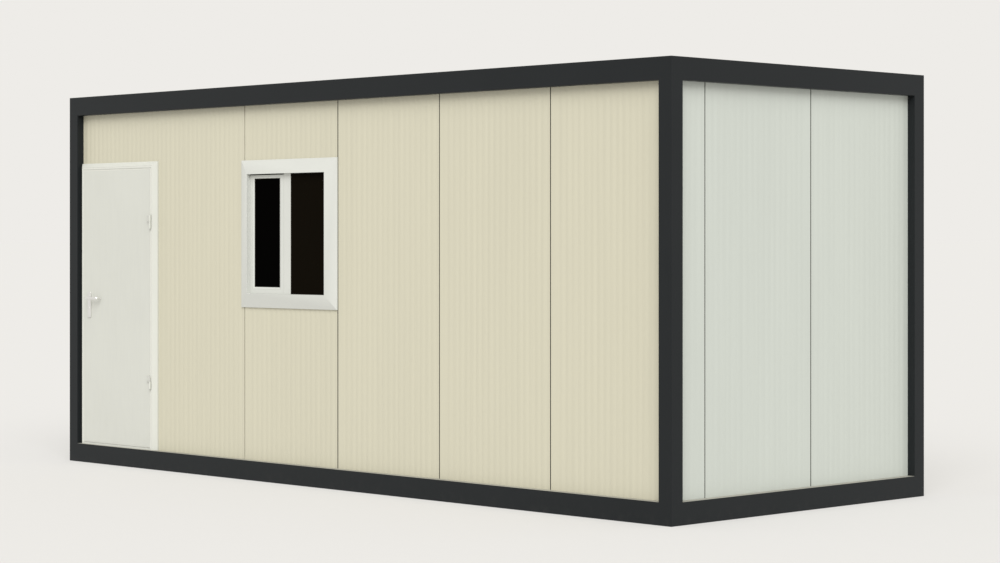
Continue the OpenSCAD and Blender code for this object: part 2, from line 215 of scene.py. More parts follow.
def piece(name, form, finish, slot, body, *stands_for):
    """Makes a form into a piece that rides on a body and stands for CAD nodes."""
    bmesh.ops.recalc_face_normals(form, faces=form.faces)
    mesh = bpy.data.meshes.new(name)
    form.to_mesh(mesh)
    form.free()
    mesh.shade_smooth()
    mesh.set_sharp_from_angle(angle=SHARP_EDGE)
    mesh.materials.append(finish)
    made = bpy.data.objects.new(name, mesh)
    bpy.context.scene.collection.objects.link(made)
    made.modifiers.new("flat faces", "WEIGHTED_NORMAL").keep_sharp = True
    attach(made, body)
    if stands_for:
        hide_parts(*stands_for)
    return made


for corner in ("front_left", "front_right", "back_left", "back_right"):
    low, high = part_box(corner + "_post")
    form = bmesh.new()
    add_box(form, low, high)
    ease(form, TUBE_ROUND)
    foot = min(form.faces, key=lambda f: f.calc_center_median().z - f.calc_area())
    bmesh.ops.inset_region(form, faces=[foot], thickness=TUBE_WALL - TUBE_ROUND)
    bore = bmesh.ops.extrude_discrete_faces(form, faces=[foot])["faces"][0]
    bmesh.ops.translate(form, verts=bore.verts, vec=(0, 0, high.z - low.z - 2 * TUBE_WALL))
    piece(corner + "_post_tube", form, anthracite, "frame_steel", "cabin", corner + "_post")

for side in ("front", "back", "left", "right"):
    for level in ("base", "top"):
        node = f"{side}_{level}_beam"
        low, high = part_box(node)
        along = 0 if side in ("front", "back") else 1
        # each end fills the rounded edge of the post that it is welded to
        low[along] -= TUBE_ROUND
        high[along] += TUBE_ROUND
        form = bmesh.new()
        add_box(form, low, high)
        ease(form, TUBE_ROUND, longer=1.0)
        piece(node + "_tube", form, anthracite, "frame_steel", "cabin", node)

# ---- Floor ----
# Steel joists welded between the base beams, sprayed like the frame, and on them a floor of
# sealed birch board, laid in sheets that butt over the joists.

BOARD_LENGTH = 1.16
BOARD_SEAM = 0.0012
BIRCH = (0.36, 0.25, 0.15)
BIRCH_DARK = (0.25, 0.165, 0.095)
BIRCH_SEAM = (0.03, 0.022, 0.015)


def recoat(node, finish):
    """Gives a CAD node that stays as it is its finish."""
    for held in frame["nodes"][node].material_slots:
        held.material = finish


def seam(distance_along, pitch, half_width):
    """1 on the lines between sheets that repeat at a pitch, and 0 between them."""
    share = distance_along * (1 / pitch)
    return share.math("PINGPONG", share, 0.5).between(half_width / pitch * 1.6, half_width / pitch * 0.6)


def sealed_board(place):
    grain = place.stretched(1.5, 26, 1).noise(9, 5)
    fibres = place.stretched(6, 240, 1).noise(6, 2)
    scuffs = place.noise(14, 4).between(0.58, 0.78)
    joint = seam(place.part("X") + 10 * BOARD_LENGTH, BOARD_LENGTH, BOARD_SEAM)
    board = (0.7 * grain + 0.3 * fibres).between(0.3, 0.7).colours(BIRCH, BIRCH_DARK)
    return {
        "Base Color": (0.75 * joint).colours(board, BIRCH_SEAM),
        "Roughness": 0.34 + 0.12 * grain + 0.25 * scuffs,
        "relief": 0.00012 * fibres - 0.001 * joint,
    }


recoat("floor_joists", anthracite)
recoat("floor_board", coat("sealed birch board", sealed_board, **{"Coat Weight": 0.3}))

# ---- Wall panels ----
# Insulated panels with a thin coated steel skin on each face, rolled with shallow upright
# flutes. They stand on the base beams, and each slots over its neighbour's tongue. A dark strip
# sunk in each joint is painted shade in its groove. The long walls are cream and the gables
# grey-white.

PANEL_T = 0.040
JOINT_W = 0.008
JOINT_DEPTH = 0.012
SKIN_ROUND = 0.0008
FLUTE_PITCH = 0.985 / 19
FLUTE_W = 0.036
FLUTE_FLAT = 0.010
LONG_FLUTE = 0.0016
GABLE_FLUTE = 0.0008
DROP_GAP = 0.002
CUT_REACH = 0.02
CREAM = (0.521, 0.499, 0.389)
GREY_WHITE = (0.487, 0.516, 0.473)
GRIME = (0.30, 0.27, 0.20)
RUBBER_AND_JOINT_SHADE = (0.018, 0.016, 0.012)
# along a wall from its first panel, inward from its face, how deep its flutes are, and how far
# below its face the painted-shade strip in each joint lies, set joint by joint so that a deeper
# strip leaves the joint fainter
WALLS = {
    "front": (Vector((-1, 0, 0)), Vector((0, 1, 0)), LONG_FLUTE, (0.0010, 0.0014, 0.0002, 0.0072)),
    "back": (Vector((1, 0, 0)), Vector((0, -1, 0)), LONG_FLUTE, (0.0010,) * 5),
    "left": (Vector((0, 1, 0)), Vector((1, 0, 0)), GABLE_FLUTE, (0.0015,) * 2),
    "right": (Vector((0, 1, 0)), Vector((-1, 0, 0)), GABLE_FLUTE, (0.0022, 0.0010)),
}


def shade(colour, factor):
    """A colour made lighter or darker."""
    return [factor * c for c in colour]


def coated_sheet(colour):
    """Coil-coated steel: faint upright drawing marks, an embossed grain and rain runs."""
    def look(place):
        marks = place.stretched(1, 1, 0.02).noise(42, 3)
        patch = place.stretched(1, 1, 0.3).noise(1.3, 2)
        runs = place.stretched(1, 1, 0.012).noise(75, 2).between(0.55, 0.8)
        foot = place.part("Z").between(0.42, 0.14)
        dirt = foot * place.noise(6, 5).between(0.35, 0.8) * 0.02 + runs * 0.02
        tone = (0.55 * marks + 0.45 * patch).between(0.25, 0.75)
        steel = tone.colours(shade(colour, 0.975), shade(colour, 1.025))
        return {
            "Base Color": dirt.colours(steel, GRIME),
            "Roughness": 0.42 + 0.14 * marks + 0.3 * dirt,
            "relief": 0.00005 * place.noise(420, 2) + 0.0001 * marks,
        }
    return look


def black_rubber_and_joint_shade(place):
    return {
        "Base Color": place.noise(90, 3).colours(RUBBER_AND_JOINT_SHADE, shade(RUBBER_AND_JOINT_SHADE, 1.6)),
        "Roughness": 0.62 + 0.2 * place.noise(40, 3),
        "relief": 0.00003 * place.noise(700, 1),
    }


cream = coat("cream coated steel", coated_sheet(CREAM))
grey_white = coat("grey-white coated steel", coated_sheet(GREY_WHITE))


def flutes(width, face_end, depth):
    """Points (u, v) along a skin, with its rolled flutes, from the start edge."""
    points = []
    for k in reversed(range(int(width / FLUTE_PITCH) + 1)):
        middle = width - (k + 0.5) * FLUTE_PITCH
        if FLUTE_W / 2 + SKIN_ROUND < middle < face_end - FLUTE_W / 2 - SKIN_ROUND:
            points += [(middle - FLUTE_W / 2, 0), (middle - FLUTE_FLAT / 2, depth),
                       (middle + FLUTE_FLAT / 2, depth), (middle + FLUTE_W / 2, 0)]
    return points


def panel_outline(width, jointed, depth):
    """A panel's plan: u along the wall from its start edge, v inward from its face."""
    face_end = width - JOINT_W if jointed else width
    bend = 0.3 * SKIN_ROUND
    outer = [(0, SKIN_ROUND), (bend, bend), (SKIN_ROUND, 0)]
    outer += flutes(width, face_end, depth)
    outer += [(face_end - SKIN_ROUND, 0), (face_end - bend, bend), (face_end, SKIN_ROUND)]
    tongue = [(face_end, JOINT_DEPTH), (width, JOINT_DEPTH)] if jointed else []
    inner = [(u, PANEL_T - v) for u, v in reversed(flutes(width, width, depth))]
    return outer + tongue + [(width, PANEL_T)] + inner + [(0, PANEL_T)]


def wall_panel(node, side, setback=None):
    """A panel, and the dark strip of painted shade in the joint at its far edge if that edge has one."""
    low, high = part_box(node)
    along, inward, flute = WALLS[side][:3]
    ahead = along + inward
    start = Vector((low.x if ahead.x > 0 else high.x, low.y if ahead.y > 0 else high.y, 0))
    width = abs((high - low).dot(along))

    def put(u, v, w):
        return start + u * along + v * inward + Vector((0, 0, w))

    form = bmesh.new()
    add_prism(form, panel_outline(width, setback is not None, flute), low.z, high.z, put)
    finish, slot = (cream, "cream_panel") if abs(along.x) else (grey_white, "pale_panel")
    # painted shade: a dark strip in the joint's groove, sunk by its setback
    if setback is not None:
        strip = [(width - JOINT_W, setback), (width, setback), (width, JOINT_DEPTH),
                 (width - JOINT_W, JOINT_DEPTH)]
        add_prism(shade_strips, strip, low.z, high.z, put)
    return piece(node + "_skins", form, finish, slot, "cabin", node)


def carve(made, form):
    """Cuts the form's shape out of a piece. A closed shell of the piece that overlaps another
    one can be lost in the cut."""
    bmesh.ops.recalc_face_normals(form, faces=form.faces)
    mesh = bpy.data.meshes.new("cutter")
    form.to_mesh(mesh)
    form.free()
    cutter = bpy.data.objects.new("cutter", mesh)
    bpy.context.scene.collection.objects.link(cutter)
    cut = made.modifiers.new("cut", "BOOLEAN")
    cut.object, cut.operation, cut.solver = cutter, "DIFFERENCE", "EXACT"
    made.modifiers.move(1, 0)
    made.modifiers[1].show_viewport = False
    shaped = made.evaluated_get(bpy.context.evaluated_depsgraph_get())
    made.data = bpy.data.meshes.new_from_object(shaped)
    made.modifiers.remove(cut)
    made.modifiers[0].show_viewport = True
    bpy.data.objects.remove(cutter)


# black rubber for the window's gaskets, and painted shade for the dark strips in the wall joints
rubber = coat("black rubber", black_rubber_and_joint_shade, **{"Specular IOR Level": 0.2})
panels = {}
shade_strips = bmesh.new()
for side in WALLS:
    for i, setback in enumerate((*WALLS[side][3], None), 1):
        node = f"{side}_panel_{i}"
        panels[node] = wall_panel(node, side, setback)
wall_panel("door_header_panel", "front")
# the dark strips in the wall joints are painted shade
piece("joint_shade_strips", shade_strips, rubber, "frame_steel", "cabin")

low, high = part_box("window_frame")
opening = bmesh.new()
clear = Vector((DROP_GAP, CUT_REACH, DROP_GAP))
add_box(opening, low - clear, high + clear)
carve(panels["front_panel_4"], opening)

# ---- Window casing and frame ----
# A white plastic window, fixed in its hole from outside. The casing's broad sides slope up to
# the opening and are welded at their mitres; they clamp the fixed pane to the frame behind. The
# frame's upright comes forward between the pane and the sash.

CASING_W = 0.097
CASING_LIP = 0.010
CASING_REBATE = (0.0085, 0.0072)
FRAME_T = 0.020
MULLION_W = 0.073
MULLION_GAP = 0.001
PANE_SEAT = (0.0083, 0.0066)
SEAT_GAP = 0.0003
CASING_ROUND = 0.0015
FRAME_ROUND = 0.0012
PLASTIC_WHITE = (0.550, 0.560, 0.525)


def add_ring(form, outer, inner, section, sides=4):
    """Adds a mitred frame. Its rectangles are (x, z, x, z), and a section point is (share,
    inset, y): share 0 starts from the outer rectangle and 1 from the inner one, and inset
    moves inward. With three sides it stands on the rectangle's foot."""
    loops = []
    for right, top in ((0, 0), (0, 1), (1, 1), (1, 0)):
        loop = []
        for share, inset, y in section:
            x = outer[2 * right] + share * (inner[2 * right] - outer[2 * right])
            z = outer[2 * top + 1] + share * (inner[2 * top + 1] - outer[2 * top + 1])
            z += 0 if sides == 3 and not top else (-inset if top else inset)
            loop.append(form.verts.new((x - inset if right else x + inset, y, z)))
        loops.append(loop)
    for k in range(sides):
        a, b = loops[k], loops[(k + 1) % 4]
        for i in range(len(section)):
            j = (i + 1) % len(section)
            form.faces.new((a[i], a[j], b[j], b[i]))
    if sides == 3:
        form.faces.new(loops[0])
        form.faces.new(loops[3])


def rectangle(node, inset=0.0):
    """A node's box seen from the front, as (x, z, x, z)."""
    low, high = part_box(node)
    return low.x + inset, low.z + inset, high.x - inset, high.z - inset


def moulded_plastic(place):
    fleck = place.noise(60, 4)
    film = place.noise(3, 4).between(0.4, 0.8)
    white = (0.5 * fleck + 0.5 * film).colours(
        shade(PLASTIC_WHITE, 1.015), shade(PLASTIC_WHITE, 0.975))
    return {
        "Base Color": white,
        "Roughness": 0.3 + 0.12 * film + 0.05 * fleck,
        "relief": 0.00002 * place.noise(500, 1) + 0.00005 * place.noise(12, 1),
    }


white_plastic = coat("white plastic", moulded_plastic)

casing = rectangle("window_casing")
low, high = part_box("window_casing")
form = bmesh.new()
add_ring(form, casing, casing, [
    (0, 0, high.y), (0, 0, high.y - CASING_LIP),
    (0, CASING_W, low.y), (0, CASING_W, high.y - CASING_REBATE[1]),
    (0, CASING_W - CASING_REBATE[0], high.y - CASING_REBATE[1]),
    (0, CASING_W - CASING_REBATE[0], high.y)])
ease(form, CASING_ROUND)
piece("window_casing_moulding", form, white_plastic, "window_white", "cabin", "window_casing")

casing_back = high.y
sight = rectangle("window_frame", FRAME_T)
low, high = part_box("window_frame")
sash_low, sash_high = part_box("window_sash")
mullion = (sash_high.x + MULLION_GAP, sash_high.x + MULLION_GAP + MULLION_W)
seat_x, seat_y = mullion[1] - PANE_SEAT[0], casing_back - SEAT_GAP
form = bmesh.new()
add_ring(form, rectangle("window_frame"), sight, [
    (0, 0, casing_back), (0, 0, high.y), (1, 0, high.y), (1, 0, casing_back)])
add_prism(form, [
    (mullion[0], low.y), (mullion[1], low.y), (mullion[1], seat_y - PANE_SEAT[1]),
    (seat_x, seat_y - PANE_SEAT[1]), (seat_x, seat_y), (mullion[1], seat_y),
    (mullion[1], high.y), (mullion[0], high.y)], sight[1], sight[3])
ease(form, FRAME_ROUND)
piece("window_frame_moulding", form, white_plastic, "window_white", "cabin", "window_frame")

# ---- Window sash ----
# The sash stands in the frame beside its upright, with a gap at its head, and is of the same
# welded plastic. A snapped-in bead, with a fine line round it, holds its pane.

STILE_W = 0.041
INNER_STILE_W = 0.046
RAIL_TOP = 0.023
RAIL_FOOT = 0.044
BEAD_W = 0.013
BEAD_LINE = 0.0012
# the bead's profile: outward from the pane's edge, and behind the sash's face
BEAD = ((BEAD_W + BEAD_LINE, 0), (BEAD_W + BEAD_LINE, 0.002), (BEAD_W, 0.002),
        (BEAD_W, 0.0004), (0.003, 0.0035), (0, 0.006))
SASH_ROUND = 0.0008

sash = (sash_low.x, sash_low.z, sash_high.x, sash_high.z)
sash_pane = (sash_low.x + STILE_W, sash_low.z + RAIL_FOOT,
             sash_high.x - INNER_STILE_W, sash_high.z - RAIL_TOP)
front, back = sash_low.y, sash_high.y
form = bmesh.new()
add_ring(form, sash, sash_pane, [
    (0, 0, front), *[(1, -outward, front + behind) for outward, behind in BEAD],
    (1, 0, back), (0, 0, back)])
ease(form, SASH_ROUND, steps=2)
piece("window_sash_moulding", form, white_plastic, "window_white", "cabin", "window_sash")

# ---- Glass and its gaskets ----
# Two dark-tinted panes, each held all round in its frame by a thin black rubber gasket. The
# glass reflects almost nothing; the fixed pane's lighter colour is a painted reflection.

GLASS_T = 0.006
GASKET_W = 0.003
GASKET_T = 0.003
GASKET_LIP = 0.0015
SASH_GLASS = front + (back - front - GLASS_T) / 2
FIXED_GLASS = casing_back - PANE_SEAT[1]
TINT = (0.0004, 0.0003, 0.0002)
# the fixed pane's colour: a painted reflection, much lighter than the sash pane's near-black tint
FIXED_PANE_PAINTED_REFLECTION = (0.0044, 0.0033, 0.0019)


def glass_with_painted_reflection(place):
    smears = place.noise(5, 5).between(0.45, 0.8)
    specks = place.noise(160, 2).between(0.7, 0.85)
    # painted reflection: the fixed pane is lighter than the sash's pane
    tint_and_painted_reflection = place.part("X").between(mullion[0], mullion[1]).colours(TINT, FIXED_PANE_PAINTED_REFLECTION)
    return {
        "Base Color": (0.2 * specks).colours(tint_and_painted_reflection, (0.01, 0.01, 0.009)),
        "Roughness": 0.02 + 0.05 * smears,
        "relief": 0.00001 * place.noise(2.5, 1),
    }


recoat("window_glass", coat("dark glass with painted reflection", glass_with_painted_reflection, **{"Specular IOR Level": 0.005}))
form = bmesh.new()
fixed_pane = (mullion[1], sight[1], sight[2], sight[3])
for pane, glass_front in ((sash_pane, SASH_GLASS), (fixed_pane, FIXED_GLASS)):
    for face, step in ((glass_front, -1), (glass_front + GLASS_T, 1)):
        add_ring(form, pane, pane, [
            (0, 0, face), (0, 0, face + GASKET_T * step),
            (0, GASKET_W, face + GASKET_LIP * step), (0, GASKET_W, face)])
piece("window_gaskets", form, rubber, "glass", "cabin")

# ---- Door frame ----
# Jambs and head of one folded steel section, with a sloping casing outside, a narrow groove
# filled with pale sealant and a rebate that the leaf closes against on a pale rubber seal. The
# ribbed threshold is enamelled with the frame.

CASING_BEVEL = 0.032
CASING_GROOVE = 0.008
CASING_FLAT = 0.046
CASING_EDGE = 0.050
STOP_EDGE = 0.062
FRAME_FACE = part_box("front_left_post")[0].y
LIP_Y = FRAME_FACE + 0.045
LEAF_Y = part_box("door_leaf")[0].y
STOP_Y = FRAME_FACE + 0.065
SEAL_EDGE = CASING_EDGE - 0.0005
SEAL_REACH = CASING_EDGE + 0.0055
GROOVE_END = CASING_BEVEL + CASING_GROOVE
# how far in from the bay's edge, and how far behind the leaf's face
SEAL = ((SEAL_EDGE, 0.0040), (CASING_EDGE + 0.002, 0.0002), (SEAL_REACH, 0.0008))
SEALANT = ((CASING_BEVEL, 0.0022), (CASING_BEVEL + 0.003, 0.0012), (GROOVE_END, 0.0016),
           (GROOVE_END, CASING_GROOVE), (CASING_BEVEL, CASING_GROOVE))
SECTION_ROUND = 0.001
THRESHOLD_H = 0.013
THRESHOLD_ROUND = 0.002
RIB_START = 0.010
RIB_PITCH = 0.008
RIB_DEPTH = 0.0012
RIB_GROOVE = (0.001, 0.003, 0.004)
DOOR_WHITE = (0.538, 0.545, 0.499)
PALE_RUBBER = (0.66, 0.66, 0.61)


def enamel(place):
    cloud = place.noise(2.2, 3)
    brush = place.stretched(1, 1, 0.1).noise(55, 3)
    foot = place.part("Z").between(0.5, 0.15) * place.noise(10, 5).between(0.4, 0.8)
    white = (0.6 * cloud + 0.4 * brush).between(0.3, 0.7).colours(
        shade(DOOR_WHITE, 0.98), shade(DOOR_WHITE, 1.02))
    return {
        "Base Color": (0.05 * foot).colours(white, GRIME),
        "Roughness": 0.36 + 0.1 * cloud + 0.06 * brush,
        "relief": 0.00004 * place.noise(280, 1) + 0.0002 * place.noise(3, 1),
    }


def pale_rubber_look(place):
    return {
        "Base Color": place.noise(50, 3).colours(PALE_RUBBER, shade(PALE_RUBBER, 0.9)),
        "Roughness": 0.6 + 0.15 * place.noise(40, 2),
        "relief": 0.00004 * place.noise(600, 1),
    }


def brushed_metal(colour, along):
    """Bare metal with fine brush lines along one axis."""
    def look(place):
        lines = place.stretched(*[4 if axis == along else 300 for axis in "XYZ"]).noise(4, 3)
        rub = place.noise(40, 3)
        return {
            "Base Color": lines.colours(shade(colour, 0.9), colour),
            "Roughness": 0.3 + 0.12 * rub + 0.08 * lines,
            "relief": 0.00002 * lines,
        }
    return look


door_white = coat("off-white enamel", enamel)
pale_rubber = coat("pale rubber", pale_rubber_look)

door_bay = rectangle("door_frame")
low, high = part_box("door_frame")
form = bmesh.new()
add_ring(form, door_bay, door_bay, [
    (0, 0, high.y), (0, 0, LIP_Y), (0, CASING_BEVEL, LEAF_Y),
    (0, CASING_BEVEL, LEAF_Y + CASING_GROOVE),
    (0, GROOVE_END, LEAF_Y + CASING_GROOVE), (0, GROOVE_END, LEAF_Y), (0, CASING_FLAT, LEAF_Y),
    (0, CASING_EDGE, LEAF_Y + CASING_EDGE - CASING_FLAT), (0, CASING_EDGE, STOP_Y),
    (0, STOP_EDGE, STOP_Y), (0, STOP_EDGE, high.y)], sides=3)
ease(form, SECTION_ROUND, steps=2)
piece("door_frame_section", form, door_white, "door_white", "cabin", "door_frame")

form = bmesh.new()
seal = [(0, inset, LEAF_Y + behind) for inset, behind in SEAL]
seal += [(0, SEAL_REACH, STOP_Y), (0, SEAL_EDGE, STOP_Y)]
for section in (seal, [(0, inset, LEAF_Y + behind) for inset, behind in SEALANT]):
    add_ring(form, door_bay, door_bay, section, sides=3)
piece("door_seal", form, pale_rubber, "door_white", "cabin")

top = low.z + THRESHOLD_H
outline = [(high.y, low.z), (LEAF_Y, low.z), (LEAF_Y, top - THRESHOLD_ROUND),
           (LEAF_Y + THRESHOLD_ROUND, top)]
near, far, end = RIB_GROOVE
y = LEAF_Y + RIB_START
while y < STOP_Y:
    outline += [(y, top), (y + near, top - RIB_DEPTH), (y + far, top - RIB_DEPTH), (y + end, top)]
    y += RIB_PITCH
outline += [(high.y, top)]
form = bmesh.new()
add_prism(form, outline, door_bay[0] + CASING_FLAT, door_bay[2] - CASING_FLAT, drawn_along)
piece("door_threshold", form, door_white, "door_white", "cabin")

# ---- Door leaf ----
# Two steel trays filled with foam, folded round the edges with a fine seam between them, and
# enamelled. A steel lock plate is let into the free edge.

LEAF_SEAM = 0.001
CORE_INSET = Vector((0.002, 0.004, 0.002))
TRAY_ROUND = 0.0012
LOCK_PLATE = (0.020, 0.235)
LOCK_PROUD = 0.0006
LOCK_SUNK = 0.002
LOCK_ROUND = 0.0004
LOCK_DROP = 0.035
BOLT_HALF_T = 0.006
LATCH = (0.0045, 0.013)
DEAD_BOLT = (0.0012, 0.085, 0.055)
LOCK_SCREW_Z = 0.105
LOCK_SCREW = ((0.0042, 0), (0.0038, 0.0005), (0.0015, 0.0006), (0.0012, 0.0001))
KEEPER_HALF_W = 0.013
KEEPER_SIDE_W = 0.004
KEEPER_T = 0.0008
KEEPER_SUNK = 0.0002
KEEPER_BARS = ((-0.10, -0.09), (-0.05, -0.018), (0.018, 0.05))
WIPER_DROP = 0.003
WIPER_INSET = 0.004
WIPER_T = (0.0015, 0.0065)
WIPER_BITE = 0.002
SPINDLE_R = 0.008
BORE_START = 0.05
BORE_LENGTH = 0.15
STAINLESS = (0.78, 0.775, 0.76)

hinge_at = {j["name"]: Vector(j["pos_m"]) for j in frame["joints"]}
spindle = hinge_at["lever_turn"]
low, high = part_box("door_leaf")
leaf_front, leaf_back = low.y, high.y
middle = (leaf_front + leaf_back) / 2
form = bmesh.new()
add_box(form, low, (high.x, middle - LEAF_SEAM / 2, high.z))
add_box(form, (low.x, middle + LEAF_SEAM / 2, low.z), high)
ease(form, TRAY_ROUND, steps=2)
add_box(form, low + CORE_INSET, high - CORE_INSET)
leaf = piece("door_leaf_trays", form, door_white, "door_white", "door", "door_leaf")


def add_turned(form, foot, axis, profile, steps=24):
    """Adds a turned shape: (radius, height) points spun about an axis from its foot."""
    axis = Vector(axis).normalized()
    side = axis.orthogonal().normalized()
    other = axis.cross(side)
    rings = []
    for radius, height in profile:
        turns = [2 * math.pi * k / steps for k in range(steps)]
        rings.append([form.verts.new(
            foot + height * axis + radius * (math.cos(t) * side + math.sin(t) * other))
            for t in turns])
    add_tube(form, rings)


def bore_cutter(foot, axis, radius, length):
    form = bmesh.new()
    add_turned(form, foot, axis, [(radius, 0), (radius, length)])
    return form


bore_foot = Vector((spindle.x, leaf_front - BORE_START, spindle.z))
carve(leaf, bore_cutter(bore_foot, (0, 1, 0), SPINDLE_R + 0.0005, BORE_LENGTH))

stainless = coat("brushed stainless steel", brushed_metal(STAINLESS, "Z"), Metallic=1.0)
plate_w, plate_h = LOCK_PLATE
form = bmesh.new()
lock_z = spindle.z - LOCK_DROP
add_box(form, (low.x - LOCK_PROUD, middle - plate_w / 2, lock_z - plate_h / 2),
        (low.x + LOCK_SUNK, middle + plate_w / 2, lock_z + plate_h / 2))
ease(form, LOCK_ROUND, steps=2)
latch_out, latch_half_h = LATCH
add_prism(form, [(low.x - latch_out, middle - BOLT_HALF_T), (low.x, middle - BOLT_HALF_T),
                 (low.x, middle + BOLT_HALF_T), (low.x - 0.001, middle + BOLT_HALF_T)],
          spindle.z - latch_half_h, spindle.z + latch_half_h)
bolt_out, bolt_foot, bolt_head = DEAD_BOLT
add_box(form, (low.x - bolt_out, middle - BOLT_HALF_T, spindle.z - bolt_foot),
        (low.x, middle + BOLT_HALF_T, spindle.z - bolt_head))
for dz in (-LOCK_SCREW_Z, LOCK_SCREW_Z):
    add_turned(form, Vector((low.x - LOCK_PROUD, middle, lock_z + dz)), (-1, 0, 0), LOCK_SCREW, 16)
piece("door_lock_plate", form, stainless, "handle_metal", "door")

form = bmesh.new()
add_box(form, (low.x + WIPER_INSET, leaf_front + WIPER_T[0], low.z - WIPER_DROP),
        (high.x - WIPER_INSET, leaf_front + WIPER_T[1], low.z + WIPER_BITE))
piece("door_foot_wiper", form, pale_rubber, "door_white", "door")

keeper_x = door_bay[0] + CASING_EDGE
form = bmesh.new()
for start, end in KEEPER_BARS:
    add_box(form, (keeper_x - KEEPER_SUNK, middle - KEEPER_HALF_W, spindle.z + start),
            (keeper_x + KEEPER_T, middle + KEEPER_HALF_W, spindle.z + end))
for edge in (-KEEPER_HALF_W, KEEPER_HALF_W - KEEPER_SIDE_W):
    add_box(form, (keeper_x - KEEPER_SUNK, middle + edge, spindle.z + KEEPER_BARS[0][0]),
            (keeper_x + KEEPER_T, middle + edge + KEEPER_SIDE_W, spindle.z + KEEPER_BARS[-1][1]))
piece("door_keeper", form, stainless, "handle_metal", "cabin")

# ---- Hinges ----
# Two lift-off hinges, enamelled with the door: the lower knuckle is welded to the casing and
# carries a steel pin, and the upper one has a wing that is screwed to the leaf.

KNUCKLE_R = 0.008
PIN_R = 0.004
HINGE_H = 0.100
KNUCKLE_GAP = 0.0008
KNUCKLE_H = (HINGE_H - KNUCKLE_GAP) / 2
WING = (0.039, 0.015, 0.010)
PIN_REACH = HINGE_H - 0.005
PIN_SUNK = 0.005
ARM_T = 0.005
WING_SCREW_X = 0.027
WING_SCREW_END = 0.012
WING_SCREW = ((0.0045, 0), (0.0042, 0.0008), (0.0022, 0.0009), (0.0020, 0.0002))

axis_at = hinge_at["door_swing"]
low_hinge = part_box("frame_hinges")[0].z + HINGE_H / 2
high_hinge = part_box("frame_hinges")[1].z - PIN_REACH + HINGE_H / 2
knuckle = [(KNUCKLE_R - 0.0012, 0), (KNUCKLE_R, 0.0012), (KNUCKLE_R, KNUCKLE_H - 0.0012),
           (KNUCKLE_R - 0.0012, KNUCKLE_H)]
fixed_half, pins, moving_half, screws = (bmesh.new() for _ in range(4))
for z in (low_hinge, high_hinge):
    foot = Vector((axis_at.x, axis_at.y, z - HINGE_H / 2))
    add_box(fixed_half, foot + Vector((-0.0025, 0, 0.001)),
            foot + Vector((0.0005, WING[2], KNUCKLE_H - 0.001)))
    head = foot + Vector((0, 0, KNUCKLE_H + KNUCKLE_GAP))
    add_box(moving_half, head + Vector((-WING[0], 0, 0)),
            head + Vector((-WING[1], WING[2], KNUCKLE_H)))
    add_box(moving_half, head + Vector((-WING[1] - 0.002, 0.0, 0.0)),
            head + Vector((0, ARM_T, KNUCKLE_H)))
ease(fixed_half, 0.0005, steps=2)
ease(moving_half, 0.0012)
for z in (low_hinge, high_hinge):
    foot = Vector((axis_at.x, axis_at.y, z - HINGE_H / 2))
    head = foot + Vector((0, 0, KNUCKLE_H + KNUCKLE_GAP))
    add_turned(fixed_half, foot, (0, 0, 1), knuckle, 32)
    add_turned(moving_half, head, (0, 0, 1), knuckle, 32)
    add_turned(pins, foot + Vector((0, 0, KNUCKLE_H - PIN_SUNK)), (0, 0, 1),
               [(PIN_R, 0), (PIN_R, PIN_REACH - KNUCKLE_H)], 24)
    for dz in (WING_SCREW_END, KNUCKLE_H - WING_SCREW_END):
        add_turned(screws, head + Vector((-WING_SCREW_X, 0.0002, dz)), (0, -1, 0), WING_SCREW, 18)
piece("frame_hinge_knuckles", fixed_half, door_white, "door_white", "cabin", "frame_hinges")
piece("hinge_pins", pins, stainless, "handle_metal", "cabin")
wings = piece("leaf_hinge_wings", moving_half, door_white, "door_white", "door", "leaf_hinges")
for z in (low_hinge, high_hinge):
    carve(wings, bore_cutter(Vector((axis_at.x, axis_at.y, z - 0.002)), (0, 0, 1),
                             PIN_R + 0.0001, PIN_REACH - HINGE_H / 2 + 0.002))
piece("hinge_screws", screws, stainless, "handle_metal", "door")

# ---- Handle ----
# A satin aluminium lever on each side of the leaf, on long plates with rounded corners that are
# screwed through the leaf. The grip is a flattened bar, and its end turns back to the leaf.

PLATE_CORNER = 0.010
PLATE_ROUND = 0.0018
PLATE_SCREW = ((0.0040, 0), (0.0037, 0.0007), (0.0018, 0.0008), (0.0016, 0.0001))
PLATE_SCREW_ENDS = (0.014, 0.012)
CYLINDER_DROP = 0.072
CYLINDER = ((0.0085, -0.001), (0.0085, 0.0016), (0.008, 0.002))
KEYWAY = (0.005, 0.024, 0.0045)
GRIP_L = 0.150
GRIP_STAND = 0.044
GRIP_HALF = (0.006, 0.0115)
RETURN_GAP = 0.012
BEND_R = 0.016
RETURN_R = 0.010
RETURN_TAPER = 0.0035
RETURN_INSET = 0.007
SATIN_ALUMINIUM = (0.85, 0.845, 0.82)

aluminium = coat("satin aluminium", brushed_metal(SATIN_ALUMINIUM, "Z"), Metallic=1.0)
low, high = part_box("handle_plates")


def rounded_outline(x0, z0, x1, z1, radius, steps=6):
    points = []
    for cx, cz, turn in ((x1, z1, 0), (x0, z1, 1), (x0, z0, 2), (x1, z0, 3)):
        cx += -radius if cx == x1 else radius
        cz += -radius if cz == z1 else radius
        for k in range(steps + 1):
            angle = (turn + k / steps) * math.pi / 2
            points.append((cx + radius * math.cos(angle), cz + radius * math.sin(angle)))
    return points


